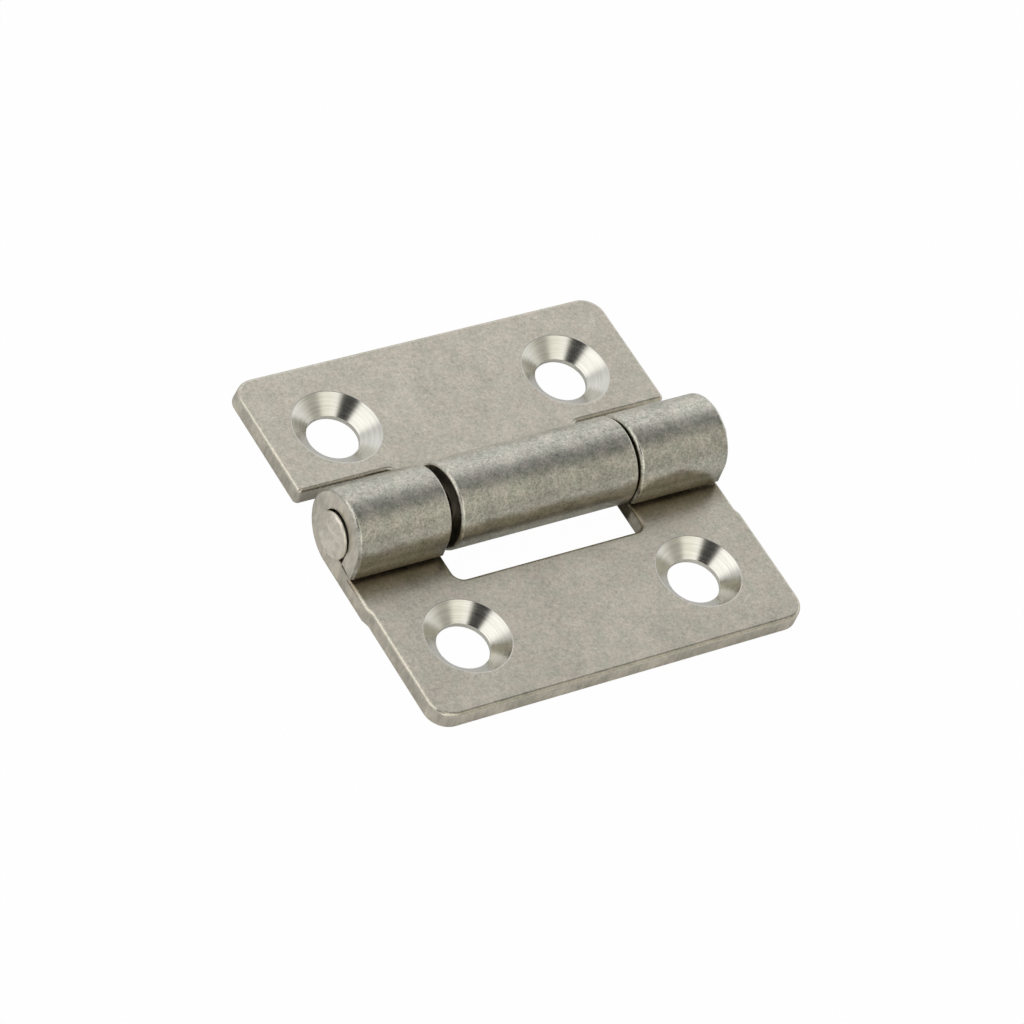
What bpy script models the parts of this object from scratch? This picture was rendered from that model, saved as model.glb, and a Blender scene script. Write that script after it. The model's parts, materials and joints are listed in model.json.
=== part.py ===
"""A stainless steel butt hinge: two rolled sheet leaves that swing on one pin with upset ends.

Lengths are in metres. X runs along the pin, Y across the open hinge and Z up. The origin lies
below the middle of the pin, on the plane that the undersides of both leaves rest on. Each leaf
starts as a flat blank with softened edges, and its tongues are then rolled round the pin.
"""
import math

import bmesh
import bpy
from mathutils import Vector

# Driving dimensions of the sheet and the pin
KNUCKLE_SPAN = 0.0400  # over the two outer knuckles, along the pin
LEAF_REACH = 0.0200  # from the pin's axis to a leaf's outer edge
SHEET = 0.0019  # thickness of both leaves
PIN_DIAMETER = 0.0039
PIN_CLEARANCE = 0.00025  # between the pin and the rolled sheet, all round
PIN_PROUD_RIGHT = 0.00145  # how far the pin, slid to the right, stands out of the right knuckle
PIN_DROP = 0.00018  # the pin rests this low in its bore
PIN_HEAD_DIAMETER = 0.0046  # both ends are upset, so that the pin can't slip out
PIN_HEAD_THICKNESS = 0.00045
PIN_HEAD_SEAT = 0.0001  # between the left head and the left knuckle
PIN_END_RADIUS = 0.0003  # rounding of the heads' rims
PIN_END_CROWN = 0.00012  # height of the slight dome on each end of the pin

# Driving dimensions of the blanks
SLOT_WIDTH = 0.0204  # between the front leaf's two knuckles
END_PLAY = 0.0012  # by which the rear leaf's single knuckle is narrower than the slot
RIGHT_PLAY = 0.00025  # the part of the end play that is left on the right
NECK_REACH = 0.00665  # from the pin's axis to the slot's and the shoulders' edges
NECK_RADIUS = 0.0010  # inner corners beside the knuckles
LEAF_CORNER_RADIUS = 0.0022  # outer corners of the leaves
REAR_CORNER_FOOT = 0.0016  # the rear leaf's outer corners are sharper than that at its underside
SHOULDER_RADIUS = 0.0005  # outer corners of the rear leaf beside the knuckles
TRIM_WIDTH = 0.0400  # across a leaf's two trimmed sides
TRIM_OFFSET = 0.00025  # the sides are trimmed this far off the knuckles' middle
TRIM_START = 0.0070  # from the pin's axis to the small step where the trimming starts
TRIM_STEP_LENGTH = 0.0007
TIP_GAP = 0.00015  # between a roll's cut end and the leaf that it lands on
EDGE_RADIUS = 0.00035  # softened edges of the blanks

# Driving dimensions of the screw holes
HOLE_PITCH = 0.0250  # between the two holes of a leaf
HOLE_REACH = 0.0125  # from the pin's axis to the holes
HOLE_DIAMETER = 0.0050
FRONT_HEAD_DIAMETER = 0.0082  # the front leaf's countersinks where they meet its face
REAR_HEAD_DIAMETER = 0.0085  # the rear leaf's, drilled a little deeper
LAND = 0.00045  # the straight part of a hole under its countersink

# How finely round shapes are divided
ROLL_STEP = math.radians(7.5)
CORNER_STEPS = 6
EDGE_SEGMENTS = 2
ROUND_STEPS = 48
RIM_STEPS = 4
CUT_MARGIN = 0.0005  # how far a cutter reaches past the sheet

# Sizes that follow from the ones above
BORE_RADIUS = PIN_DIAMETER / 2 + PIN_CLEARANCE
ROLL_RADIUS = BORE_RADIUS + SHEET
NEUTRAL_RADIUS = ROLL_RADIUS - SHEET / 2
ROLL_TURN = math.radians(270)
ROLL_LENGTH = NEUTRAL_RADIUS * ROLL_TURN
TIP_LENGTH = BORE_RADIUS - TIP_GAP  # the straight end of a roll, down to the leaf
BLANK_END = ROLL_LENGTH + TIP_LENGTH
TAB_WIDTH = SLOT_WIDTH - END_PLAY
REAR_SLIDE = END_PLAY / 2 - RIGHT_PLAY  # how far the rear leaf has slid to the right
PIN_PROUD_LEFT = PIN_HEAD_SEAT + PIN_HEAD_THICKNESS
PIN_LENGTH = PIN_PROUD_LEFT + KNUCKLE_SPAN + PIN_PROUD_RIGHT
KNUCKLES_MIDDLE = (PIN_PROUD_LEFT - PIN_PROUD_RIGHT) / 2  # along the pin, from the pin's middle


def arc(centre, radius, start, end, steps):
    """Points on an arc, from the start to the end angle in degrees, both included."""
    angles = [math.radians(start + (end - start) * k / steps) for k in range(steps + 1)]
    return [(centre[0] + radius * math.cos(a), centre[1] + radius * math.sin(a)) for a in angles]


def corner(x, y, radius, inward_x, inward_y, start, end):
    """An arc that rounds the corner at (x, y). The inward signs point from it to the arc's centre."""
    centre = (x + inward_x * radius, y + inward_y * radius)
    return arc(centre, radius, start, end, CORNER_STEPS)


def outer_edge(left, right, r):
    """The edge of a blank that lies farthest from the pin, with its two rounded corners."""
    return corner(left, -LEAF_REACH, r, 1, 1, 180, 270) + corner(right, -LEAF_REACH, r, -1, 1, 270, 360)


def front_blank():
    """Outline of the front leaf's blank: two tongues with a slot between them."""
    knuckle_end = KNUCKLE_SPAN / 2
    slot_side = SLOT_WIDTH / 2
    left = TRIM_OFFSET - TRIM_WIDTH / 2
    right = TRIM_OFFSET + TRIM_WIDTH / 2
    step_out = -TRIM_START - TRIM_STEP_LENGTH
    points = outer_edge(left, right, LEAF_CORNER_RADIUS)
    points += [(right, step_out), (knuckle_end, -TRIM_START)]
    points += [(knuckle_end, BLANK_END), (slot_side, BLANK_END)]
    points += corner(slot_side, -NECK_REACH, NECK_RADIUS, -1, 1, 360, 270)
    points += corner(-slot_side, -NECK_REACH, NECK_RADIUS, 1, 1, 270, 180)
    points += [(-slot_side, BLANK_END), (-knuckle_end, BLANK_END)]
    points += [(-knuckle_end, -TRIM_START), (left, step_out)]
    return points


def rear_blank(corner_radius):
    """Outline of the rear leaf's blank: one tongue between two shoulders."""
    tab_side = TAB_WIDTH / 2
    left = -TRIM_OFFSET - TRIM_WIDTH / 2
    right = -TRIM_OFFSET + TRIM_WIDTH / 2
    points = outer_edge(left, right, corner_radius)
    points += corner(right, -NECK_REACH, SHOULDER_RADIUS, -1, -1, 0, 90)
    points += corner(tab_side, -NECK_REACH, NECK_RADIUS, 1, 1, 270, 180)
    points += [(tab_side, BLANK_END), (-tab_side, BLANK_END)]
    points += corner(-tab_side, -NECK_REACH, NECK_RADIUS, -1, 1, 360, 270)
    points += corner(left, -NECK_REACH, SHOULDER_RADIUS, 1, -1, 90, 180)
    return points


def rolled(point):
    """Where a point of the flat blank ends up, measured from the pin's axis, once it is rolled."""
    along, height = point.y, point.z
    radius = ROLL_RADIUS - height
    if along <= 0:
        return Vector((point.x, along, -radius))
    if along <= ROLL_LENGTH:
        turn = along / NEUTRAL_RADIUS
        return Vector((point.x, radius * math.sin(turn), -radius * math.cos(turn)))
    return Vector((point.x, -radius, ROLL_LENGTH - along))


def sheet_blank(underside, top):
    """The flat blank as a plate with softened edges, between its outlines at height 0 and at its face."""
    bm = bmesh.new()
    lower = [bm.verts.new((x, y, 0)) for x, y in underside]
    upper = [bm.verts.new((x, y, SHEET)) for x, y in top]
    bm.faces.new(lower)
    bm.faces.new(upper)
    for k in range(len(lower)):
        n = (k + 1) % len(lower)
        bm.faces.new((lower[k], lower[n], upper[n], upper[k]))
    bmesh.ops.recalc_face_normals(bm, faces=bm.faces)
    rims = [e for e in bm.edges if abs(e.verts[0].co.z - e.verts[1].co.z) < SHEET / 2]
    bmesh.ops.bevel(bm, geom=rims, offset=EDGE_RADIUS, segments=EDGE_SEGMENTS, profile=0.5,
                    affect="EDGES", clamp_overlap=True)
    return bm


def rolled_leaf(name, underside, top):
    """A leaf: its blank, divided across the tongues and rolled round the pin's axis."""
    bm = sheet_blank(underside, top)
    steps = round(ROLL_TURN / ROLL_STEP)
    for k in range(steps + 1):
        station = ROLL_LENGTH * k / steps
        bmesh.ops.bisect_plane(bm, geom=bm.verts[:] + bm.edges[:] + bm.faces[:], dist=1e-7,
                               plane_co=(0, station, 0), plane_no=(0, 1, 0))
    for vert in bm.verts:
        vert.co = rolled(vert.co)
    mesh = bpy.data.meshes.new(name)
    bm.to_mesh(mesh)
    bm.free()
    return mesh


def turned(name, profile):
    """A mesh object turned round its own Z axis from a profile that runs down from the top."""
    mesh = bpy.data.meshes.new(name)
    verts = [(radius, 0, height) for radius, height in profile]
    mesh.from_pydata(verts, [(k, k + 1) for k in range(len(verts) - 1)], [])
    thing = bpy.data.objects.new(name, mesh)
    screw = thing.modifiers.new("turn", "SCREW")
    screw.axis = "Z"
    screw.angle = math.tau
    screw.steps = ROUND_STEPS
    screw.render_steps = ROUND_STEPS
    screw.use_merge_vertices = True
    screw.merge_threshold = 0.00001
    screw.use_smooth_shade = True
    return thing


def screw_hole_cutter(name, head_diameter):
    """The shape that a countersink drill takes out of a leaf, with its zero at the sheet's underside."""
    hole = HOLE_DIAMETER / 2
    head = head_diameter / 2
    top = SHEET + CUT_MARGIN
    return turned(name, [(0, top), (head, top), (head, SHEET), (hole, LAND), (hole, -CUT_MARGIN), (0, -CUT_MARGIN)])


def pin():
    """The pin, upright: a plain shank with an upset head at each end, rounded and slightly domed."""
    shank = PIN_DIAMETER / 2
    head = PIN_HEAD_DIAMETER / 2
    half = PIN_LENGTH / 2
    flat = head - PIN_END_RADIUS
    rim_height = half - PIN_END_CROWN
    dome = [(flat * k / RIM_STEPS, half - PIN_END_CROWN * (k / RIM_STEPS) ** 2) for k in range(RIM_STEPS)]
    rim = arc((flat, rim_height - PIN_END_RADIUS), PIN_END_RADIUS, 90, 0, RIM_STEPS)
    under_head = half - PIN_HEAD_THICKNESS
    upper = dome + rim + [(head, under_head), (shank, under_head)]
    return turned("hinge_pin", upper + [(r, -z) for r, z in reversed(upper)])


def steel(name, colour, roughness):
    """A metallic Principled material."""
    material = bpy.data.materials.new(name)
    material.use_nodes = True
    shader = material.node_tree.nodes["Principled BSDF"]
    shader.inputs["Base Color"].default_value = (*colour, 1)
    shader.inputs["Metallic"].default_value = 1
    shader.inputs["Roughness"].default_value = roughness
    return material


def collection(name):
    """A new collection in the scene."""
    group = bpy.data.collections.new(name)
    bpy.context.scene.collection.children.link(group)
    return group


def place(thing, group, parent, location=(0, 0, 0), turn=(0, 0, 0)):
    """Links an object, hangs it on its parent and sets it there."""
    group.objects.link(thing)
    thing.parent = parent
    thing.location = location
    thing.rotation_euler = turn


def add_leaf(name, mesh, head_diameter, material, group, cutters, axis, slide, turn):
    """A rolled leaf on the pin's axis, with its two countersunk holes cut."""
    leaf = bpy.data.objects.new(name, mesh)
    leaf.data.materials.append(material)
    leaf.data.shade_smooth()
    leaf.data.set_sharp_from_angle(angle=math.radians(40))
    place(leaf, group, axis, (KNUCKLES_MIDDLE + slide, 0, 0), (0, 0, turn))
    for label, side in (("left", -1), ("right", 1)):
        cutter = screw_hole_cutter(f"{name}_{label}_hole", head_diameter)
        place(cutter, cutters, leaf, (side * HOLE_PITCH / 2, -HOLE_REACH, -ROLL_RADIUS))
        cutter.display_type = "WIRE"
        cutter.hide_render = True
        cut = leaf.modifiers.new(f"{label}_hole", "BOOLEAN")
        cut.operation = "DIFFERENCE"
        cut.object = cutter


def build():
    """Puts the hinge together, open flat, round the pin's axis."""
    for old in list(bpy.data.objects):
        bpy.data.objects.remove(old)
    group = collection("stainless_steel_hinge")
    cutters = collection("cutters")
    sheet_steel = steel("tumbled_sheet_steel", (0.42, 0.40, 0.34), 0.38)
    pin_steel = steel("bright_pin_steel", (0.55, 0.54, 0.50), 0.28)

    axis = bpy.data.objects.new("pin_axis", None)
    place(axis, group, None, (0, 0, ROLL_RADIUS))
    front = rolled_leaf("front_leaf", front_blank(), front_blank())
    add_leaf("front_leaf", front, FRONT_HEAD_DIAMETER, sheet_steel, group, cutters, axis, 0, 0)
    rear = rolled_leaf("rear_leaf", rear_blank(REAR_CORNER_FOOT), rear_blank(LEAF_CORNER_RADIUS))
    add_leaf("rear_leaf", rear, REAR_HEAD_DIAMETER, sheet_steel, group, cutters, axis, REAR_SLIDE, math.pi)

    shaft = pin()
    shaft.data.materials.append(pin_steel)
    place(shaft, group, axis, (0, 0, -PIN_DROP), (0, math.pi / 2, 0))


build()
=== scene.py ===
# %% [markdown]
# A stainless steel butt hinge that lies open on a pale table.
#
# The hinge is three pieces: two leaves of rolled sheet and a pin with upset ends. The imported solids
# give every size and place, and this script gives each piece its finer surface and its finish. Lengths
# are in metres. X runs along the pin, Y across the open hinge and Z up from the screwed side.

# %% Load the frame
import json
import math

import bmesh
import bpy
from mathutils import Matrix, Vector, noise as lumps


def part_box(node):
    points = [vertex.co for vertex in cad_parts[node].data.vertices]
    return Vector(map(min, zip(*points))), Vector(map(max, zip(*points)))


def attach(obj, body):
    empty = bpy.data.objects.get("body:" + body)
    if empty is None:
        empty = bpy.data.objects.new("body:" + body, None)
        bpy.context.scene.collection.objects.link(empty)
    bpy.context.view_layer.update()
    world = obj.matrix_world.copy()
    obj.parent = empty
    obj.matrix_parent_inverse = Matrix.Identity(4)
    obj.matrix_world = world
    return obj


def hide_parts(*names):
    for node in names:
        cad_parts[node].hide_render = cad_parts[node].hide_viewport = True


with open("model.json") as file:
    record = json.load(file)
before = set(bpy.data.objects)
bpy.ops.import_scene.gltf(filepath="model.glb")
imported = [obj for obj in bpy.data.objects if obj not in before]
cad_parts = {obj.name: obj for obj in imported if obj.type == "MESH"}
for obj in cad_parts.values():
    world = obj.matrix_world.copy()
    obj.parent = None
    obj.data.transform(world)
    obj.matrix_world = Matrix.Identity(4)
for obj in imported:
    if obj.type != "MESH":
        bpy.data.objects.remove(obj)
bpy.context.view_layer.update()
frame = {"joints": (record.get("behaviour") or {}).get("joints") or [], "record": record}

# %% [markdown]
# The camera looks down on the hinge past its left front corner, through a long lens, and it is rolled,
# because the hinge lies at a slant in the picture. The angles, the distance and the focal length were
# solved from the hinge's outline in a square picture 1024 pixels wide. A camera that is only pointed
# at the object would lose the roll, so its three axes are worked out here.

# %% Camera
PICTURE = 1024  # pixels, both ways
FOCAL_PIXELS = 4930
SENSOR_MM = 36
CAMERA_AZIMUTH = math.radians(47.82)  # from +Y towards +X
CAMERA_ELEVATION = math.radians(45.95)
CAMERA_ROLL = math.radians(23.46)
CAMERA_DISTANCE = 0.4458
ORIGIN_PIXEL = (514.8, 511.6)  # where the hinge's origin falls in the picture


def add_camera():
    """A camera that sees the hinge's origin at its solved pixel."""
    level = math.cos(CAMERA_ELEVATION)
    forward = Vector((math.sin(CAMERA_AZIMUTH) * level, math.cos(CAMERA_AZIMUTH) * level,
                      -math.sin(CAMERA_ELEVATION)))
    side = forward.cross(Vector((0, 0, 1))).normalized()
    over = side.cross(forward)
    right = math.cos(CAMERA_ROLL) * side + math.sin(CAMERA_ROLL) * over
    up = math.cos(CAMERA_ROLL) * over - math.sin(CAMERA_ROLL) * side
    across = (ORIGIN_PIXEL[0] - PICTURE / 2) / FOCAL_PIXELS
    above = (PICTURE / 2 - ORIGIN_PIXEL[1]) / FOCAL_PIXELS
    data = bpy.data.cameras.new("camera")
    data.sensor_width = SENSOR_MM
    data.lens = FOCAL_PIXELS * SENSOR_MM / PICTURE
    camera = bpy.data.objects.new("camera", data)
    bpy.context.scene.collection.objects.link(camera)
    axes = Matrix((right, up, -forward)).transposed().to_4x4()
    place = -CAMERA_DISTANCE * (across * right + above * up + forward)
    camera.matrix_world = Matrix.Translation(place) @ axes
    bpy.context.scene.camera = camera
    return camera


camera = add_camera()
bpy.context.scene.view_settings.view_transform = "Standard"
print("camera, mm:", [round(v * 1000, 1) for v in camera.matrix_world.translation])
print("lens, mm:", round(camera.data.lens, 1))

# %% [markdown]
# Every finish and every tree below is written as an expression. This class wraps one output socket.
# Adding, subtracting, multiplying or dividing two of them makes the Math node, and any other node comes
# from one method, which sets the node's own settings first and its sockets after them.


# %% A socket that can be reckoned with
class Wire:
    """One output socket of a node tree."""

    def __init__(self, tree, socket):
        self.tree = tree
        self.socket = socket

    @classmethod
    def node(cls, tree, kind, settings=None, inputs=None, output=0):
        """A node of a kind, with its settings, and its inputs by name or number as values or wires."""
        made = tree.nodes.new(kind)
        for name, value in (settings or {}).items():
            setattr(made, name, value)
        for name, value in (inputs or {}).items():
            if isinstance(value, cls):
                tree.links.new(value.socket, made.inputs[name])
            else:
                made.inputs[name].default_value = value
        return cls(tree, made.outputs[output])

    def maths(self, operation, *others):
        """A Math node on this wire and the others."""
        inputs = dict(enumerate((self, *others)))
        return Wire.node(self.tree, "ShaderNodeMath", {"operation": operation}, inputs)

    def __add__(self, other):
        return self.maths("ADD", other)

    def __radd__(self, other):
        return self.maths("ADD", other)

    def __mul__(self, other):
        return self.maths("MULTIPLY", other)

    def __sub__(self, other):
        return self.maths("SUBTRACT", other)

    def __rsub__(self, other):
        return Wire.node(self.tree, "ShaderNodeMath", {"operation": "SUBTRACT"}, {0: other, 1: self})

    def __truediv__(self, other):
        return self.maths("DIVIDE", other)

    def step(self, low, high):
        """0 below low and 1 above high, with a soft step between."""
        return Wire.node(self.tree, "ShaderNodeMapRange", {"interpolation_type": "SMOOTHSTEP"},
                         {"Value": self, "From Min": low, "From Max": high})

    def between(self, low, high):
        """A value that is low where this wire is 0, and high where it is 1."""
        return self * (high - low) + low

    def swing(self, middle, reach):
        """A value that this wire's 0 to 1 swings this far to both sides of a middle."""
        return self.between(middle - reach, middle + reach)

    def mix(self, first, second):
        """Two colours mixed by this wire."""
        return Wire.node(self.tree, "ShaderNodeMix", {"data_type": "RGBA"},
                         {0: self, 6: first, 7: second}, output=2)

    def shaded(self, shade):
        """This colour multiplied by a shade, or by another colour."""
        return Wire.node(self.tree, "ShaderNodeMix", {"data_type": "RGBA", "blend_type": "MULTIPLY"},
                         {0: 1, 6: self, 7: shade}, output=2)

    def parts(self):
        """The three numbers of a vector."""
        apart = Wire.node(self.tree, "ShaderNodeSeparateXYZ", inputs={0: self}).socket.node
        return [Wire(self.tree, socket) for socket in apart.outputs]


# %% [markdown]
# Bare steel has little colour of its own: what it shows is the room it stands in. The rolled knuckles
# reflect a pale wall behind them, a darker ceiling and a grey front, and each countersink holds two
# bright fans, of two soft boxes, with a black wedge between them where the camera stood. So the world
# is a grey studio with soft bright and dark places, each a cone round one direction. The front takes
# more blue away than red, because the knuckles turn yellowish towards it.

# %% World
STUDIO_GREY = (0.62, 0.62, 0.62)
STUDIO_DARKEST = (0.03, 0.03, 0.03)
# Each place: its direction, its outer and inner half angle in degrees, and the red, green and blue it adds
STUDIO_PLACES = {
    "pale wall behind": ((0.45, 0.88, 0.10), 70, 20, (0.24, 0.24, 0.25)),
    "dark ceiling": ((0.52, 0.07, 0.85), 29, 8, (-0.42, -0.42, -0.42)),
    "grey front": ((0.52, -0.76, 0.40), 50, 26, (-0.17, -0.18, -0.23)),
    "pale wall on the right": ((0.97, -0.10, 0.15), 36, 12, (0.26, 0.26, 0.25)),
    "window low on the left": ((-0.48, -0.76, 0.36), 22, 8, (0.75, 0.73, 0.62)),
    "soft box on the left": ((-0.70, 0.25, 0.66), 34, 15, (0.62, 0.61, 0.58)),
    "soft box in front": ((0.02, -0.70, 0.71), 30, 12, (0.56, 0.55, 0.51)),
    "dark camera stand": ((-0.50, -0.40, 0.77), 22, 12, (-0.95, -0.96, -0.97)),
}


def add_world():
    """The studio as the metal sees it. The camera sees plain white instead."""
    world = bpy.data.worlds.new("studio")
    bpy.context.scene.world = world
    world.use_nodes = True
    tree = world.node_tree
    tree.nodes.clear()
    direction = Wire.node(tree, "ShaderNodeTexCoord", output="Generated")
    light = STUDIO_GREY
    for towards, outer, inner, added in STUDIO_PLACES.values():
        facing = Wire.node(tree, "ShaderNodeVectorMath", {"operation": "DOT_PRODUCT"},
                           {0: direction, 1: Vector(towards).normalized()}, "Value")
        share = facing.step(math.cos(math.radians(outer)), math.cos(math.radians(inner)))
        light = Wire.node(tree, "ShaderNodeVectorMath", {"operation": "MULTIPLY_ADD"},
                          {0: share, 1: added, 2: light})
    light = Wire.node(tree, "ShaderNodeVectorMath", {"operation": "MAXIMUM"}, {0: light, 1: STUDIO_DARKEST})
    path = Wire.node(tree, "ShaderNodeLightPath", output="Is Camera Ray")
    studio = Wire.node(tree, "ShaderNodeBackground", inputs={"Color": light})
    white = Wire.node(tree, "ShaderNodeBackground", inputs={"Color": (1, 1, 1, 1)})
    both = Wire.node(tree, "ShaderNodeMixShader", inputs={0: path, 1: studio, 2: white})
    output = tree.nodes.new("ShaderNodeOutputWorld")
    tree.links.new(both.socket, output.inputs["Surface"])


add_world()
print("studio with", len(STUDIO_PLACES), "places")

# %% [markdown]
# The table is a plain white plane just under the leaves. The camera sees it almost wholly as a glow, by
# a Light Path mix, and the rest is paint that takes the hinge's soft shadow. The metal mirrors the
# paint alone, with the shadows under and beside the hinge.

# %% Table
TABLE_SIZE = 3.0
TABLE_DROP = 0.00002  # below the leaves' undersides
TABLE_GLOW = 0.98  # share of the table's white that no shadow darkens
TABLE_PAINT = (0.84, 0.84, 0.84, 1)
TABLE_PAINT_BLOTCHES = (0.88, 0.88, 0.88, 1)
PAPER_BLOTCHES = 90  # to the metre


def table_white():
    """White paint that glows for the camera."""
    material = bpy.data.materials.new("table white")
    material.use_nodes = True
    tree = material.node_tree
    tree.nodes.clear()
    camera_ray = Wire.node(tree, "ShaderNodeLightPath", output="Is Camera Ray")
    place = Wire.node(tree, "ShaderNodeTexCoord", output="Object")
    paper = Wire.node(tree, "ShaderNodeTexNoise",
                      inputs={"Vector": place, "Scale": PAPER_BLOTCHES, "Detail": 3})
    colour = paper.mix(TABLE_PAINT, TABLE_PAINT_BLOTCHES)
    paint = Wire.node(tree, "ShaderNodeBsdfDiffuse", inputs={"Color": colour})
    glow = Wire.node(tree, "ShaderNodeEmission", inputs={"Color": (1, 1, 1, 1), "Strength": 1})
    both = Wire.node(tree, "ShaderNodeMixShader", inputs={0: camera_ray * TABLE_GLOW, 1: paint, 2: glow})
    output = tree.nodes.new("ShaderNodeOutputMaterial")
    tree.links.new(both.socket, output.inputs["Surface"])
    return material


def add_table():
    """A large plane under the hinge."""
    bm = bmesh.new()
    bmesh.ops.create_grid(bm, x_segments=1, y_segments=1, size=TABLE_SIZE / 2)
    bmesh.ops.translate(bm, verts=bm.verts, vec=(0, 0, -TABLE_DROP))
    mesh = bpy.data.meshes.new("table")
    bm.to_mesh(mesh)
    bm.free()
    mesh.materials.append(table_white())
    table = bpy.data.objects.new("table", mesh)
    bpy.context.scene.collection.objects.link(table)


add_table()
print("table", TABLE_SIZE, "m wide")

# %% [markdown]
# Shapes and finishes both follow the sizes of the sheet, so they come first. The heights and reaches
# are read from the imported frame: the joint gives the pin's height, which is also the radius of the
# roll, because the knuckles come down to the undersides, and the two mounts give the middle between
# the holes of each leaf. The rest repeats the driving dimensions of the solids, apart from the cut end
# of a roll, which stands off its leaf a little more here and is slanted, so that the slit shows.

# %% Sizes
SHEET = 0.0019
KNUCKLE_SPAN = 0.0400
SLOT_WIDTH = 0.0204
END_PLAY = 0.0012
NECK_REACH = 0.00665
NECK_RADIUS = 0.0010
LEAF_CORNER_RADIUS = 0.0022
REAR_CORNER_FOOT = 0.0016
SHOULDER_RADIUS = 0.0005
TRIM_WIDTH = 0.0400
TRIM_OFFSET = 0.00025
TRIM_START = 0.0070
TRIM_STEP_LENGTH = 0.0007
TIP_GAP = 0.00022
TIP_SLANT = 0.00034  # by which the bore's side of a roll's cut end stands off further
HOLE_PITCH = 0.0250
HOLE_DIAMETER = 0.0050
FRONT_HEAD_DIAMETER = 0.0082
REAR_HEAD_DIAMETER = 0.0085
LAND = 0.00045
ROLL_TURN = math.radians(270)

seats = {mount["name"]: mount["pos_m"] for mount in frame["record"]["mounts"]}
front_middle = seats["front_leaf_seat"][0]
rear_middle = seats["rear_leaf_seat"][0]
hole_reach = seats["rear_leaf_seat"][1]
roll_radius = frame["joints"][0]["pos_m"][2]
leaf_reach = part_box("rear_leaf")[1][1]
neutral_radius = roll_radius - SHEET / 2
roll_length = neutral_radius * ROLL_TURN
blank_end = roll_length + roll_radius - SHEET - TIP_GAP
print("roll radius, mm:", round(roll_radius * 1000, 2))
print("blank's length, mm:", round((leaf_reach + blank_end) * 1000, 2))

# %% [markdown]
# Every metal of the hinge is one shader with numbers of its own: fully metallic, with a colour, a
# roughness and a Bump node that noise drives. Noise in Object coordinates runs through the metal like
# grain through wood, so it doesn't stretch on the rolled knuckles. Three helpers hold what they share.

# %% Metal and noise
def new_metal(name, roughness_middle):
    """A metallic material: its tree, its shader node and its Object coordinates."""
    material = bpy.data.materials.new(name)
    material.use_nodes = True
    tree = material.node_tree
    shader = tree.nodes["Principled BSDF"]
    shader.inputs["Metallic"].default_value = 1
    shader.inputs["Roughness"].default_value = roughness_middle
    place = Wire.node(tree, "ShaderNodeTexCoord", output="Object")
    return material, tree, shader, place


def noise(place, scale, detail=2.0, roughness=0.5):
    """Noise round 0.5, with this many blotches to the metre."""
    return Wire.node(place.tree, "ShaderNodeTexNoise", inputs={
        "Vector": place, "Scale": scale, "Detail": detail, "Roughness": roughness})


def finish_metal(tree, shader, colour, roughness, height, depth):
    """Links a metal's colour, its roughness and the height that its Bump node reads."""
    tree.links.new(colour.socket, shader.inputs["Base Color"])
    tree.links.new(roughness.socket, shader.inputs["Roughness"])
    bump = Wire.node(tree, "ShaderNodeBump", inputs={"Height": height, "Strength": 1, "Distance": depth})
    tree.links.new(bump.socket, shader.inputs["Normal"])


# %% [markdown]
# Some marks follow the hinge's shape. Painted shade, with a brown tarnish where no tumbling stone could
# reach, sits in the corner between a knuckle and its leaf, and painted shade darkens the lower front of
# the knuckles up to a wavy line, which sags towards the right end. One short scratch crosses the front
# leaf near its right corner. Each mark is a formula of the place that gives 1 on the mark and 0 away
# from it, and a pair of lengths says where it starts to fade and where it has faded.

# %% Marks and painted shade on the sheet
# The corner's painted shade and tarnish
SHADE_AND_TARNISH_REACH = 0.0026
SHADE_AND_TARNISH_FADE = 0.0006  # beside the slot
BEHIND_PIN = (-0.001, 0.001)
# The painted shade on the knuckles' lower front, up to a wavy line with a sag
FRONT_SHADE_TOP = (0.0050, 0.0059)
FRONT_SHADE_FOOT = (0.0034, 0.0042)
FRONT_SHADE_FRONT = (0.0026, 0.0030)
FRONT_SHADE_WAVES = 500  # to the metre
FRONT_SHADE_WAVE_HEIGHT = 0.0005
SAG_MIDDLE = 0.0136
SAG_BEND = 85  # the sag is this times the square of the way from its middle
RIGHT_KNUCKLE = (0.0095, 0.0100)
SCRATCH_PLACE = (0.0148, -0.01665)
SCRATCH_DIRECTION = (0.797, 0.604)
SCRATCH_HALF_WIDTH = (0.00001, 0.00006)
SCRATCH_HALF_LENGTH = (0.0004, 0.0009)


def shaded_and_tarnished_corner(x, y, z):
    """1 in the corner where a knuckle's cut end meets its own leaf, for painted shade and tarnish, and 0
    beyond their reach.
    """
    off_corner = y.maths("ABSOLUTE") - roll_radius
    off_face = z - SHEET
    away = (off_corner * off_corner + off_face * off_face).maths("SQRT")
    half_slot = SLOT_WIDTH / 2
    outside_slot = (x - front_middle).maths("ABSOLUTE").step(half_slot - SHADE_AND_TARNISH_FADE, half_slot)
    own_leaf = (y.step(*BEHIND_PIN) - outside_slot).maths("ABSOLUTE")
    return (1 - away.step(0, SHADE_AND_TARNISH_REACH)) * own_leaf


def shaded_knuckle_front(place, x, y, z):
    """1 for painted shade on the lower front of the knuckles, below a wavy line that sags towards the right
    end.
    """
    off_middle = x - SAG_MIDDLE
    sag = off_middle * off_middle * x.step(*RIGHT_KNUCKLE) * SAG_BEND
    waver = noise(place, FRONT_SHADE_WAVES).swing(0, FRONT_SHADE_WAVE_HEIGHT)
    below_line = 1 - (z + sag + waver).step(*FRONT_SHADE_TOP)
    return below_line * z.step(*FRONT_SHADE_FOOT) * (0 - y).step(*FRONT_SHADE_FRONT)


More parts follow.
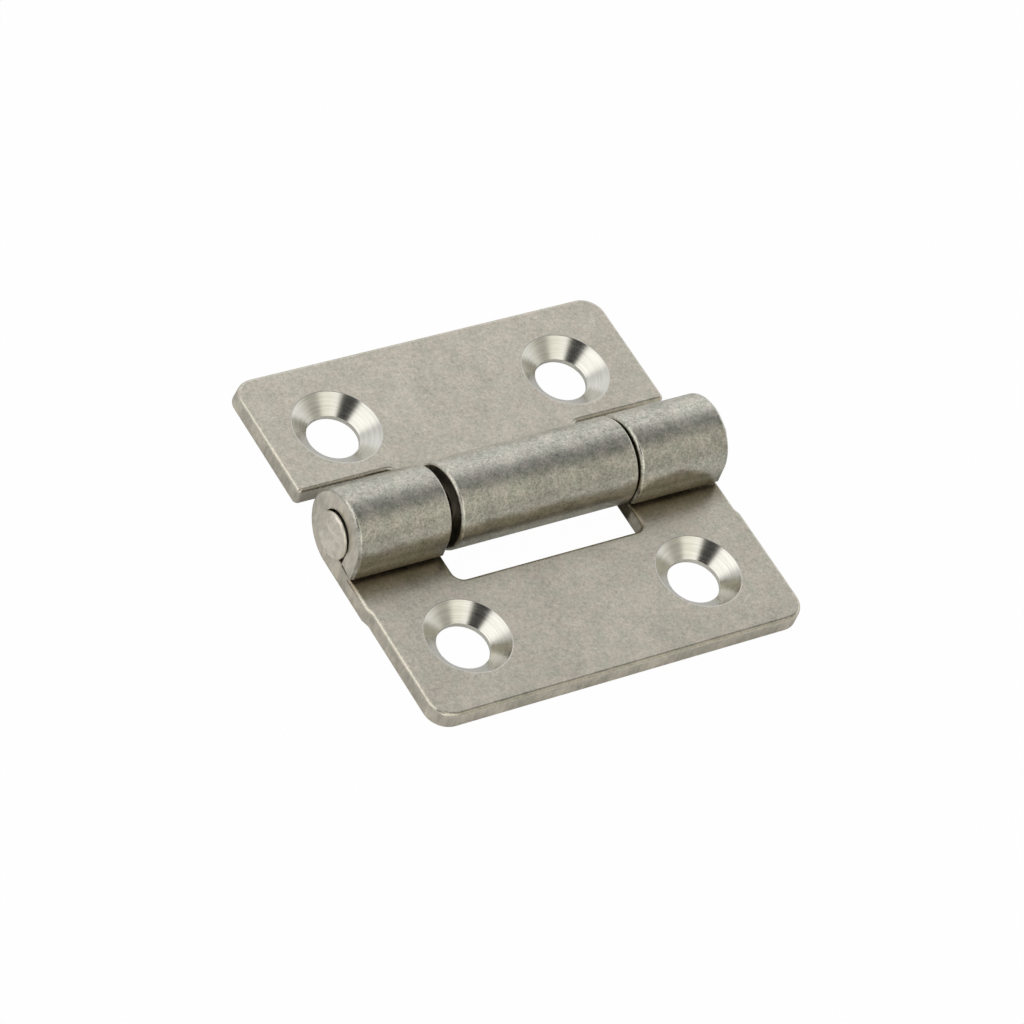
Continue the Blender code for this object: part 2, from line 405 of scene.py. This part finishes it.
def scratch(x, y):
    """1 on a short scratch in the front leaf."""
    right = x - SCRATCH_PLACE[0]
    back = y - SCRATCH_PLACE[1]
    along = right * SCRATCH_DIRECTION[0] + back * SCRATCH_DIRECTION[1]
    across = back * SCRATCH_DIRECTION[0] - right * SCRATCH_DIRECTION[1]
    narrow = 1 - across.maths("ABSOLUTE").step(*SCRATCH_HALF_WIDTH)
    return narrow * (1 - along.maths("ABSOLUTE").step(*SCRATCH_HALF_LENGTH))


# %% [markdown]
# The hinge was tumbled after rolling: the sheet is satin all over, warm grey, with pinkish and greenish
# patches about a millimetre wide and a grain over them. Each size of blotch has a noise of its own and
# a share in the shade, and all but the widest also tilt the surface a little. The knuckles are a shade
# cooler, darker and blotchier than the leaves, where the rolling die rubbed them. The back of the left
# knuckle carries a painted dark reflection, and the corner's painted shade with its tarnish and the
# painted shade on the knuckles' lower front are laid on here too. The rounded rims are the same steel,
# rubbed smoother.

# %% Tumbled sheet
PINK_STEEL = (0.712, 0.655, 0.562, 1)
GREEN_STEEL = (0.682, 0.657, 0.553, 1)
PINK_PATCHES = (0.38, 0.62)
# Each noise: its blotches to the metre, its detail and its roughness
SHEET_NOISES = {"fine": (5600, 1, 0.5), "grain": (2500, 2, 0.6), "mottle": (880, 2, 0.5),
                "patch": (400, 1, 0.5), "cloud": (190, 1, 0.5)}
SHADE_SHARES = {"fine": 0.58, "grain": 0.47, "mottle": 0.21, "patch": 0.16, "cloud": 0.18}
SHADE_BASE = 0.195
HEIGHT_SHARES = {"fine": 0.35, "grain": 1, "mottle": 0.8, "patch": 0.9}
SHEET_ROUGHNESS = 0.33
RIM_ROUGHNESS = 0.28
SHEET_ROUGHNESS_SWING = 0.07
SHEET_BUMP = 0.000012
RIM_BUMP = 0.000014
KNUCKLE_GRAIN = 0.75  # by how much stronger the shading is where the die rubbed
KNUCKLE_FADE = 0.0003
KNUCKLE_FOOT = (0.0002, 0.0014)
# Where the painted dark reflection lies on the back of the left knuckle
DARK_REFLECTION_LEFT = (0.0105, 0.0135)
DARK_REFLECTION_BACK = (0.0022, 0.0030)
KNUCKLE_TINT = (0.87, 0.90, 0.93, 1)
# Tints: the corner's painted shade and tarnish, the painted shade on the knuckles' front, and the painted
# dark reflection on the left knuckle's back
SHADE_AND_TARNISH_TINT = (0.46, 0.42, 0.36, 1)
FRONT_SHADE_TINT = (0.60, 0.57, 0.53, 1)
DARK_REFLECTION_TINT = (0.52, 0.51, 0.48, 1)
NO_TINT = (1, 1, 1, 1)
SCRATCH_STEEL = (0.92, 0.88, 0.80, 1)


def tumbled_sheet(name, roughness_middle, depth):
    """Warm grey satin with a mottle, a fine grain, tarnish, painted shade and a painted dark reflection."""
    material, tree, shader, place = new_metal(name, roughness_middle)
    x, y, z = place.parts()
    blotches = {size: noise(place, *look) for size, look in SHEET_NOISES.items()}
    shade = sum(blotches[size] * share for size, share in SHADE_SHARES.items()) + SHADE_BASE
    height = sum(blotches[size] * share for size, share in HEIGHT_SHARES.items())
    beyond_knuckle = y.maths("ABSOLUTE").step(roll_radius, roll_radius + KNUCKLE_FADE)
    on_knuckle = (1 - beyond_knuckle) * z.step(*KNUCKLE_FOOT)
    # Painted shade on the knuckles' lower front, and a painted dark reflection on the left knuckle's back
    front_shade = shaded_knuckle_front(place, x, y, z) * on_knuckle
    dark_reflection = (0 - x).step(*DARK_REFLECTION_LEFT) * y.step(*DARK_REFLECTION_BACK) * on_knuckle
    colour = blotches["mottle"].step(*PINK_PATCHES).mix(GREEN_STEEL, PINK_STEEL)
    colour = colour.shaded((shade - 1) * (1 + on_knuckle * KNUCKLE_GRAIN) + 1)
    # Besides the knuckles' own tint: painted shade with tarnish, painted front shade and a painted dark
    # reflection
    for share, tint in ((on_knuckle, KNUCKLE_TINT), (shaded_and_tarnished_corner(x, y, z), SHADE_AND_TARNISH_TINT),
                        (front_shade, FRONT_SHADE_TINT), (dark_reflection, DARK_REFLECTION_TINT)):
        colour = colour.shaded(share.mix(NO_TINT, tint))
    colour = scratch(x, y).mix(colour, SCRATCH_STEEL)
    roughness = blotches["mottle"].swing(roughness_middle, SHEET_ROUGHNESS_SWING)
    finish_metal(tree, shader, colour, roughness, height, depth)
    return material


face_steel = tumbled_sheet("tumbled sheet", SHEET_ROUGHNESS, SHEET_BUMP)
rim_steel = tumbled_sheet("burnished rim", RIM_ROUGHNESS, RIM_BUMP)
print(face_steel.name, "and", rim_steel.name, "of", len(face_steel.node_tree.nodes), "nodes each")

# %% [markdown]
# A punched blank keeps its sheared walls. They are duller than the faces and carry short streaks
# through the sheet's thickness, so the noise is squeezed along Z before it is read. Between the
# knuckles they are painted dark, for the shade in the gaps and for rubbed off metal and old oil, and
# so is the slit where a roll's cut end comes down on its leaf.

# %% Sheared edge
SHEARED_DARK = (0.60, 0.568, 0.495, 1)
SHEARED_PALE = (0.77, 0.727, 0.635, 1)
PALE_PATCHES = (0.35, 0.65)
WALL_PATCHES = 350  # to the metre
WALL_STREAKS = 1900  # to the metre
STREAK_SQUEEZE = (1, 1, 0.35)
STREAK_SHADE = 0.98
STREAK_SHADE_SWING = 0.46
SHEARED_ROUGHNESS = 0.42
SHEARED_ROUGHNESS_SWING = 0.08
SHEARED_BUMP = 0.00007
# Painted shade and old oil in the gaps between the knuckles and in the slit
GAP_SHADE_AND_OIL_TINT = (0.22, 0.20, 0.17, 1)
GAP_SHADE_AND_OIL_FADE = 0.0004
SLIT_BOTTOM = (0.00182, 0.00190)
SLIT_TOP = (0.00208, 0.00216)
SLIT_BACK = (0.0018, 0.0022)
SLIT_FRONT = (0.0039, 0.0042)


def sheared_edge():
    """The streaky walls of the punched blank."""
    material, tree, shader, place = new_metal("sheared edge", SHEARED_ROUGHNESS)
    x, y, z = place.parts()
    squeezed = Wire.node(tree, "ShaderNodeVectorMath", {"operation": "MULTIPLY"},
                         {0: place, 1: STREAK_SQUEEZE})
    streak = noise(squeezed, WALL_STREAKS, 4, 0.65)
    patch = noise(place, WALL_PATCHES)
    half_slot = SLOT_WIDTH / 2
    # Painted shade with old oil: the gaps between the knuckles and the slit under a roll's cut end
    outside_slot = (x - front_middle).maths("ABSOLUTE").step(half_slot, half_slot + GAP_SHADE_AND_OIL_FADE)
    beyond_knuckle = y.maths("ABSOLUTE").step(roll_radius, roll_radius + GAP_SHADE_AND_OIL_FADE)
    in_gap = (1 - outside_slot) * (1 - beyond_knuckle)
    at_slit = z.step(*SLIT_BOTTOM) * (1 - z.step(*SLIT_TOP)) \
        * (0 - y).step(*SLIT_BACK) * (1 - (0 - y).step(*SLIT_FRONT))
    shade_and_oil = in_gap.maths("MAXIMUM", at_slit)
    tint = patch.step(*PALE_PATCHES).mix(SHEARED_DARK, SHEARED_PALE)
    colour = tint.shaded(streak.swing(STREAK_SHADE, STREAK_SHADE_SWING))
    colour = colour.shaded(shade_and_oil.mix(NO_TINT, GAP_SHADE_AND_OIL_TINT))
    roughness = streak.swing(SHEARED_ROUGHNESS, SHEARED_ROUGHNESS_SWING)
    finish_metal(tree, shader, colour, roughness, streak + patch, SHEARED_BUMP)
    return material


wall_steel = sheared_edge()
print(wall_steel.name, "of", len(wall_steel.node_tree.nodes), "nodes")

# %% [markdown]
# The countersinks were drilled last and never tumbled, so they are the brightest metal on the hinge.
# The drill left fine grooves round each hole. Their height is a noise of the distance from the hole's
# middle alone, and folding X and Y on the leaf's middle lets one formula serve both holes.

# %% Turned countersink
TURNED_WARM = (0.80, 0.785, 0.725, 1)
TURNED_COOL = (0.74, 0.73, 0.67, 1)
TURNED_HAZE = 500  # blotches to the metre
GROOVES = 9000  # noise blotches to the metre, across the grooves
GROOVE_WANDER = 0.03  # how fast the noise changes along a groove, as a share of that
GROOVE_SHADE_SWING = 0.30
GROOVE_BUMP = 0.000006
COUNTERSINK_ROUGHNESS = 0.19
COUNTERSINK_ROUGHNESS_SWING = 0.05


def turned_countersink(name, middle, pitch, reach):
    """Bright drilled steel, grooved round the two hole centres of one leaf."""
    material, tree, shader, place = new_metal(name, COUNTERSINK_ROUGHNESS)
    x, y, z = place.parts()
    from_hole_x = (x - middle).maths("ABSOLUTE") - pitch / 2
    from_hole_y = y.maths("ABSOLUTE") - reach
    radius = (from_hole_x * from_hole_x + from_hole_y * from_hole_y).maths("SQRT")
    turned = Wire.node(tree, "ShaderNodeCombineXYZ", inputs={
        "X": radius, "Y": x * GROOVE_WANDER, "Z": y * GROOVE_WANDER})
    groove = noise(turned, GROOVES, 3, 0.7)
    tint = noise(place, TURNED_HAZE).mix(TURNED_WARM, TURNED_COOL)
    colour = tint.shaded(groove.swing(1, GROOVE_SHADE_SWING))
    roughness = groove.swing(COUNTERSINK_ROUGHNESS, COUNTERSINK_ROUGHNESS_SWING)
    finish_metal(tree, shader, colour, roughness, groove, GROOVE_BUMP)
    return material


front_drilled = turned_countersink("front countersinks", front_middle, HOLE_PITCH, hole_reach)
rear_drilled = turned_countersink("rear countersinks", rear_middle, HOLE_PITCH, hole_reach)
print(front_drilled.name, "and", rear_drilled.name)

# %% [markdown]
# The pin is drawn wire, a little cooler and smoother than the tumbled sheet. Its upset ends took
# hammer blows and then the tumbling, so they are tan, pitted and duller than the shank.

# %% Pin steel
SHANK_DARK = (0.62, 0.605, 0.54, 1)
SHANK_PALE = (0.68, 0.655, 0.60, 1)
SHANK_PATCHES = (0.35, 0.65)
END_DARK = (0.70, 0.655, 0.57, 1)
END_PALE = (0.88, 0.835, 0.74, 1)
END_PATCHES = (0.38, 0.62)
PIN_PATCHES = 900  # to the metre
PIN_GRAIN = 2600  # to the metre
PIN_SHADE_SWING = 0.34
PIN_PITS = 1.4  # the patches' share in the height, beside the grain's 1
PIN_BUMP = 0.00005
PIN_ROUGHNESS = 0.32
PIN_ROUGHNESS_SWING = 0.07
SHANK_SMOOTHER = 0.01
ENDS_DULLER = 0.05
SHANK_END = (0.0204, 0.0206)  # from the pin's middle, where the duller ends begin


def pin_steel():
    """Drawn wire with pitted, tan ends."""
    material, tree, shader, place = new_metal("drawn pin", PIN_ROUGHNESS)
    x, y, z = place.parts()
    grain = noise(place, PIN_GRAIN, 3, 0.6)
    patch = noise(place, PIN_PATCHES)
    at_end = x.maths("ABSOLUTE").step(*SHANK_END)
    shank = patch.step(*SHANK_PATCHES).mix(SHANK_DARK, SHANK_PALE)
    ends = patch.step(*END_PATCHES).mix(END_DARK, END_PALE)
    colour = at_end.mix(shank, ends).shaded(grain.swing(1, PIN_SHADE_SWING))
    roughness = patch.swing(PIN_ROUGHNESS, PIN_ROUGHNESS_SWING)
    roughness = roughness + at_end.between(-SHANK_SMOOTHER, ENDS_DULLER)
    finish_metal(tree, shader, colour, roughness, grain + patch * PIN_PITS, PIN_BUMP)
    return material


wire_steel = pin_steel()
print(wire_steel.name, "of", len(wire_steel.node_tree.nodes), "nodes")

# %% [markdown]
# A leaf starts as the flat blank that the press punches: an outline with long tongues. Straight runs
# need only their ends, and every corner is an arc. The rear leaf's underside has sharper corners
# than its face, so a blank is lofted between two outlines and its rims are rounded with a bevel. On the
# tongues only the outer rims are round: the inner ones end up at the bore, where the blank stays crisp.

# %% Blanks
CORNER_STEPS = 14
RIM_RADIUS = 0.00037  # tumbled rims, a little softer than on the solids
RIM_SEGMENTS = 7
CRISP_FROM = -0.0035  # along the blank, where the rims of the bore begin to be crisp
HAIR = 1e-6  # a length too short to matter


def corner(x, y, radius, inward_x, inward_y, start, end):
    """Points on the arc that rounds the corner at (x, y), angles in degrees."""
    centre_x = x + inward_x * radius
    centre_y = y + inward_y * radius
    angles = [math.radians(start + (end - start) * k / CORNER_STEPS) for k in range(CORNER_STEPS + 1)]
    return [(centre_x + radius * math.cos(a), centre_y + radius * math.sin(a)) for a in angles]


def outer_edge(left, right, r):
    """The edge that lies farthest from the pin, with its two corners."""
    return corner(left, -leaf_reach, r, 1, 1, 180, 270) + corner(right, -leaf_reach, r, -1, 1, 270, 360)


def front_blank(tip):
    """Two tongues up to a tip, a slot between them, and sides trimmed a little off the middle."""
    end = KNUCKLE_SPAN / 2
    slot = SLOT_WIDTH / 2
    left = TRIM_OFFSET - TRIM_WIDTH / 2
    right = TRIM_OFFSET + TRIM_WIDTH / 2
    step_out = -TRIM_START - TRIM_STEP_LENGTH
    points = outer_edge(left, right, LEAF_CORNER_RADIUS)
    points += [(right, step_out), (end, -TRIM_START), (end, CRISP_FROM), (end, tip)]
    points += [(slot, tip), (slot, CRISP_FROM)]
    points += corner(slot, -NECK_REACH, NECK_RADIUS, -1, 1, 360, 270)
    points += corner(-slot, -NECK_REACH, NECK_RADIUS, 1, 1, 270, 180)
    points += [(-slot, CRISP_FROM), (-slot, tip), (-end, tip), (-end, CRISP_FROM)]
    points += [(-end, -TRIM_START), (left, step_out)]
    return points


def rear_blank(corner_radius, tip):
    """One tongue up to a tip, between two shoulders."""
    tab = (SLOT_WIDTH - END_PLAY) / 2
    left = -TRIM_OFFSET - TRIM_WIDTH / 2
    right = -TRIM_OFFSET + TRIM_WIDTH / 2
    points = outer_edge(left, right, corner_radius)
    points += corner(right, -NECK_REACH, SHOULDER_RADIUS, -1, -1, 0, 90)
    points += corner(tab, -NECK_REACH, NECK_RADIUS, 1, 1, 270, 180)
    points += [(tab, CRISP_FROM), (tab, tip), (-tab, tip), (-tab, CRISP_FROM)]
    points += corner(-tab, -NECK_REACH, NECK_RADIUS, -1, 1, 360, 270)
    points += corner(left, -NECK_REACH, SHOULDER_RADIUS, 1, -1, 90, 180)
    return points


# %% [markdown]
# The blank becomes a plate here. Once the rims are rounded, their slanting faces are flagged as rims
# and the upright ones as sheared walls, which is easy while the plate is still flat. The tongues are
# divided every three degrees of the roll, because a fold only looks round if there are enough
# stations to bend at.

# %% Plates
ROLL_STATIONS = 90
WALL_SLOPE = 0.30  # a face whose normal rises less than this is a sheared wall
FACE_SLOPE = 0.9995  # and one that rises more than this is the flat face of the sheet


def plate(name, underside, face):
    """A flat blank between two outlines, with rounded rims, flagged walls and divided tongues."""
    bm = bmesh.new()
    sheared = bm.faces.layers.bool.new("sheared")
    rim = bm.faces.layers.bool.new("rim")
    lower = [bm.verts.new((x, y, 0)) for x, y in underside]
    upper = [bm.verts.new((x, y, SHEET)) for x, y in face]
    bm.faces.new(lower)
    bm.faces.new(upper)
    for k in range(len(lower)):
        n = (k + 1) % len(lower)
        bm.faces.new((lower[k], lower[n], upper[n], upper[k]))
    bmesh.ops.recalc_face_normals(bm, faces=bm.faces)
    level = [e for e in bm.edges if abs(e.verts[0].co.z - e.verts[1].co.z) < SHEET / 2]
    rims = [e for e in level if any(v.co.z < SHEET / 2 or v.co.y < CRISP_FROM - HAIR for v in e.verts)]
    bmesh.ops.bevel(bm, geom=rims, offset=RIM_RADIUS, segments=RIM_SEGMENTS, profile=0.5,
                    affect="EDGES", clamp_overlap=True)
    bm.normal_update()
    for part in bm.faces:
        rise = abs(part.normal.z)
        part[sheared] = rise < WALL_SLOPE
        part[rim] = WALL_SLOPE <= rise < FACE_SLOPE
    for k in range(ROLL_STATIONS + 1):
        bmesh.ops.bisect_plane(bm, geom=bm.verts[:] + bm.edges[:] + bm.faces[:], dist=HAIR / 10,
                               plane_co=(0, roll_length * k / ROLL_STATIONS, 0), plane_no=(0, 1, 0))
    mesh = bpy.data.meshes.new(name)
    bm.to_mesh(mesh)
    bm.free()
    return mesh


# %% [markdown]
# The drill is a turned shape, spun from half its section. A tiny chamfer where it meets the sheet
# leaves the thin rim that shows as a line round each countersink.

# %% Drill and pin profiles
TURN_STEPS = 128
RIM_LINE = 0.00005  # width of the chamfer round a countersink
RIM_DROP = 0.000022  # its depth
CUT_MARGIN = 0.0005


def lathe(name, profile):
    """A mesh turned round Z from (radius, height) points, from one end of the axis to the other."""
    bm = bmesh.new()
    verts = [bm.verts.new((radius, 0, height)) for radius, height in profile]
    edges = [bm.edges.new(pair) for pair in zip(verts, verts[1:])]
    bmesh.ops.spin(bm, geom=verts + edges, axis=(0, 0, 1), cent=(0, 0, 0), angle=math.tau,
                   steps=TURN_STEPS, use_merge=True)
    bmesh.ops.remove_doubles(bm, verts=bm.verts, dist=HAIR / 100)
    bmesh.ops.recalc_face_normals(bm, faces=bm.faces)
    mesh = bpy.data.meshes.new(name)
    bm.to_mesh(mesh)
    bm.free()
    return mesh


def drill(name, head_diameter):
    """What a countersink drill takes out of the sheet, with its zero at the sheet's underside."""
    hole = HOLE_DIAMETER / 2
    head = head_diameter / 2
    slope = (head - hole) / (SHEET - LAND)
    top = SHEET + CUT_MARGIN
    profile = [(0, top), (head + RIM_LINE, top), (head + RIM_LINE, SHEET),
               (head - RIM_DROP * slope, SHEET - RIM_DROP),
               (hole + RIM_LINE / 2, LAND + RIM_LINE / 2 / slope), (hole, LAND - RIM_LINE),
               (hole, RIM_LINE), (hole + RIM_LINE, 0), (hole + RIM_LINE, -CUT_MARGIN), (0, -CUT_MARGIN)]
    tool = bpy.data.objects.new(name, lathe(name, profile))
    bpy.context.scene.collection.objects.link(tool)
    return tool


# %% [markdown]
# Drilling and rolling follow a rule, so a Geometry Nodes tree does both. The drill is set on the two
# ends of a line and cut out of the blank while it is flat, with the manifold solver, because the exact
# one leaves slits open where the rims turn crisp. Then every point is carried round the pin:
# the sheet's middle layer keeps its length, so the way along the blank, divided by that layer's
# radius, is the angle it is rolled to, and what lies past either end of the roll runs on straight.

# %% Geometry Nodes: drill and roll
LEAF_INPUTS = {
    "Blank": "NodeSocketGeometry",
    "Drill": "NodeSocketObject",
    "Hole pitch": "NodeSocketFloat",
    "Hole reach": "NodeSocketFloat",
    "Roll radius": "NodeSocketFloat",
    "Sheet": "NodeSocketFloat",
    "Turn": "NodeSocketFloat",
    "Face steel": "NodeSocketMaterial",
    "Rim steel": "NodeSocketMaterial",
    "Wall steel": "NodeSocketMaterial",
    "Drilled steel": "NodeSocketMaterial",
}


def leaf_tree():
    """The tree that drills a flat blank and rolls its tongues."""
    tree = bpy.data.node_groups.new("drill and roll", "GeometryNodeTree")
    for name, kind in LEAF_INPUTS.items():
        tree.interface.new_socket(name, in_out="INPUT", socket_type=kind)
    tree.interface.new_socket("Leaf", in_out="OUTPUT", socket_type="NodeSocketGeometry")
    entry = tree.nodes.new("NodeGroupInput")
    given = {name: Wire(tree, entry.outputs[name]) for name in LEAF_INPUTS}

    half = given["Hole pitch"] * 0.5
    near = 0 - given["Hole reach"]
    first = Wire.node(tree, "ShaderNodeCombineXYZ", inputs={"X": 0 - half, "Y": near})
    last = Wire.node(tree, "ShaderNodeCombineXYZ", inputs={"X": half, "Y": near})
    centres = Wire.node(tree, "GeometryNodeMeshLine", {"mode": "END_POINTS"},
                        {"Count": 2, "Start Location": first, "Offset": last})
    tool = Wire.node(tree, "GeometryNodeObjectInfo", inputs={"Object": given["Drill"]}, output="Geometry")
    tools = Wire.node(tree, "GeometryNodeInstanceOnPoints", inputs={"Points": centres, "Instance": tool})
    cutters = Wire.node(tree, "GeometryNodeRealizeInstances", inputs={"Geometry": tools})
    marked = Wire.node(tree, "GeometryNodeStoreNamedAttribute", {"data_type": "BOOLEAN", "domain": "FACE"},
                       {"Geometry": cutters, "Name": "drilled", "Value": True})
    drilled = Wire.node(tree, "GeometryNodeMeshBoolean", {"operation": "DIFFERENCE", "solver": "MANIFOLD"},
                        {"Mesh 1": given["Blank"], "Mesh 2": marked}, output="Mesh")

    x, along, height = Wire.node(tree, "GeometryNodeInputPosition").parts()
    radius = given["Roll radius"] - height
    neutral = given["Roll radius"] - given["Sheet"] * 0.5
    turn = (along / neutral).maths("MAXIMUM", 0).maths("MINIMUM", given["Turn"])
    past_end = (along - neutral * given["Turn"]).maths("MAXIMUM", 0)
    straight = along.maths("MINIMUM", 0) + past_end
    sine = turn.maths("SINE")
    cosine = turn.maths("COSINE")
    y = radius * sine + straight * cosine
    z = straight * sine - radius * cosine + given["Roll radius"]
    place = Wire.node(tree, "ShaderNodeCombineXYZ", inputs={"X": x, "Y": y, "Z": z})
    rolled = Wire.node(tree, "GeometryNodeSetPosition", inputs={"Geometry": drilled, "Position": place})

    whole = Wire.node(tree, "GeometryNodeRealizeInstances", inputs={"Geometry": rolled})
    flags = {"Face steel": None, "Rim steel": "rim", "Wall steel": "sheared", "Drilled steel": "drilled"}
    for name, flag in flags.items():
        inputs = {"Geometry": whole, "Material": given[name]}
        if flag:
            inputs["Selection"] = Wire.node(tree, "GeometryNodeInputNamedAttribute",
                                            {"data_type": "BOOLEAN"}, {"Name": flag})
        whole = Wire.node(tree, "GeometryNodeSetMaterial", inputs=inputs)
    leave = tree.nodes.new("NodeGroupOutput")
    tree.links.new(whole.socket, leave.inputs["Leaf"])
    return tree


def evaluated_mesh(thing, name):
    """The object's mesh with its modifiers applied, as a plain mesh."""
    graph = bpy.context.evaluated_depsgraph_get()
    mesh = bpy.data.meshes.new_from_object(thing.evaluated_get(graph), preserve_all_data_layers=True,
                                           depsgraph=graph)
    mesh.name = name
    return mesh


# %% [markdown]
# Each leaf is now a blank, a drill and the tree. Weighted normals keep the wide flat faces flat
# beside their small rounded rims, and edges sharper than 17 degrees stay sharp, which are those of the
# countersinks and of the trimmed sides. The rear leaf is the same way up but turned half round, so its
# tongue meets the slot.

# %% Leaves
SHARP_ANGLE = math.radians(17)


def add_leaf(name, node, body, underside, face, head_diameter, middle, half_turns, materials):
    """One leaf, drilled, rolled, set in place and handed to its body."""
    blank = bpy.data.objects.new(f"{name}_blank", plate(f"{name}_blank", underside, face))
    bpy.context.scene.collection.objects.link(blank)
    tool = drill(f"{name}_drill", head_diameter)
    blank.data.materials.append(materials["Face steel"])
    tool.data.materials.append(materials["Drilled steel"])
    values = {"Drill": tool, "Hole pitch": HOLE_PITCH, "Hole reach": hole_reach, "Roll radius": roll_radius,
              "Sheet": SHEET, "Turn": ROLL_TURN, **materials}
    modifier = blank.modifiers.new("drill and roll", "NODES")
    modifier.node_group = leaf_steps
    for item in leaf_steps.interface.items_tree:
        if item.name in values:
            modifier[item.identifier] = values[item.name]
    mesh = evaluated_mesh(blank, name)
    mesh.transform(Matrix.Translation((middle, 0, 0)) @ Matrix.Rotation(half_turns * math.pi, 4, "Z"))
    mesh.shade_smooth()
    mesh.set_sharp_from_angle(angle=SHARP_ANGLE)
    for done in (blank, tool):
        bpy.data.objects.remove(done)

    rough = bpy.data.objects.new(name, mesh)
    bpy.context.scene.collection.objects.link(rough)
    weigh = rough.modifiers.new("weighted normals", "WEIGHTED_NORMAL")
    weigh.keep_sharp = True
    finished = evaluated_mesh(rough, name)
    rough.modifiers.remove(weigh)
    rough.data = finished
    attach(rough, body)
    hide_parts(node)
    print(name, len(finished.polygons), "faces,", [m.name for m in finished.materials])
    return rough


leaf_steps = leaf_tree()
sheet_finish = {"Face steel": face_steel, "Rim steel": rim_steel, "Wall steel": wall_steel}
front_finish = {**sheet_finish, "Drilled steel": front_drilled}
rear_finish = {**sheet_finish, "Drilled steel": rear_drilled}
short_end = blank_end - TIP_SLANT
add_leaf("rolled_front_leaf", "front_leaf", "front_leaf", front_blank(blank_end), front_blank(short_end),
         FRONT_HEAD_DIAMETER, front_middle, 0, front_finish)
add_leaf("rolled_rear_leaf", "rear_leaf", "rear_leaf", rear_blank(REAR_CORNER_FOOT, blank_end),
         rear_blank(LEAF_CORNER_RADIUS, short_end), REAR_HEAD_DIAMETER, rear_middle, 1, rear_finish)

# %% [markdown]
# The pin is a length of wire whose two ends were upset with a hammer, so that it can't slip out. Its
# length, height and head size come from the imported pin's box, and a lathe profile makes the plain
# shape. The hammering then pushes each head's rim in and its face down by small amounts that follow a
# fixed noise, which never takes it past the plain shape.

# %% Pin
PIN_DIAMETER = 0.0039
PIN_HEAD_THICKNESS = 0.00045
PIN_END_RADIUS = 0.00028
PIN_END_CROWN = 0.00012
PIN_END_STEPS = 16
HAMMERED_IN = 0.06  # the most that a head's rim is pushed in, as a share of its radius
HAMMERED_DOWN = 0.00010  # and its face
HAMMER_MARKS = 1400  # to the metre
PIN_SHARP_ANGLE = math.radians(40)


def hammered(point, half):
    """Where a point of the plain pin goes under the hammer."""
    under_head = half - PIN_HEAD_THICKNESS + HAIR
    if abs(point.z) < under_head and point.xy.length < PIN_DIAMETER / 2 + HAIR:
        return point
    strength = (lumps.noise(point * HAMMER_MARKS) + 1) / 2
    inward = 1 - HAMMERED_IN * strength * min(point.xy.length / PIN_DIAMETER * 2, 1)
    down = HAMMERED_DOWN * strength if abs(point.z) > under_head else 0
    return Vector((point.x * inward, point.y * inward, math.copysign(abs(point.z) - down, point.z)))


def add_pin():
    """The pin, turned upright, hammered and then laid along X."""
    low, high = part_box("hinge_pin")
    half = (high[0] - low[0]) / 2
    radius = (high[2] - low[2]) / 2
    height = (high[2] + low[2]) / 2
    flat = radius - PIN_END_RADIUS
    shares = [k / PIN_END_STEPS for k in range(PIN_END_STEPS + 1)]
    dome = [(flat * s, half - PIN_END_CROWN * s ** 2) for s in shares]
    rim = [(flat + PIN_END_RADIUS * math.sin(s * math.pi / 2),
            half - PIN_END_CROWN - PIN_END_RADIUS * (1 - math.cos(s * math.pi / 2))) for s in shares[1:]]
    under_head = half - PIN_HEAD_THICKNESS
    end = dome + rim + [(radius, under_head), (PIN_DIAMETER / 2, under_head)]
    mesh = lathe("drawn_pin", end + [(r, -z) for r, z in reversed(end)])
    for vert in mesh.vertices:
        vert.co = hammered(vert.co, half)
    mesh.transform(Matrix.Translation((0, 0, height)) @ Matrix.Rotation(math.pi / 2, 4, "Y"))
    mesh.shade_smooth()
    mesh.set_sharp_from_angle(angle=PIN_SHARP_ANGLE)
    mesh.materials.append(wire_steel)
    pin = bpy.data.objects.new("drawn_pin", mesh)
    bpy.context.scene.collection.objects.link(pin)
    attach(pin, "front_leaf")
    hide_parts("hinge_pin")
    print("pin", round(half * 2000, 2), "mm long, heads", round(radius * 2000, 2), "mm across")


add_pin()
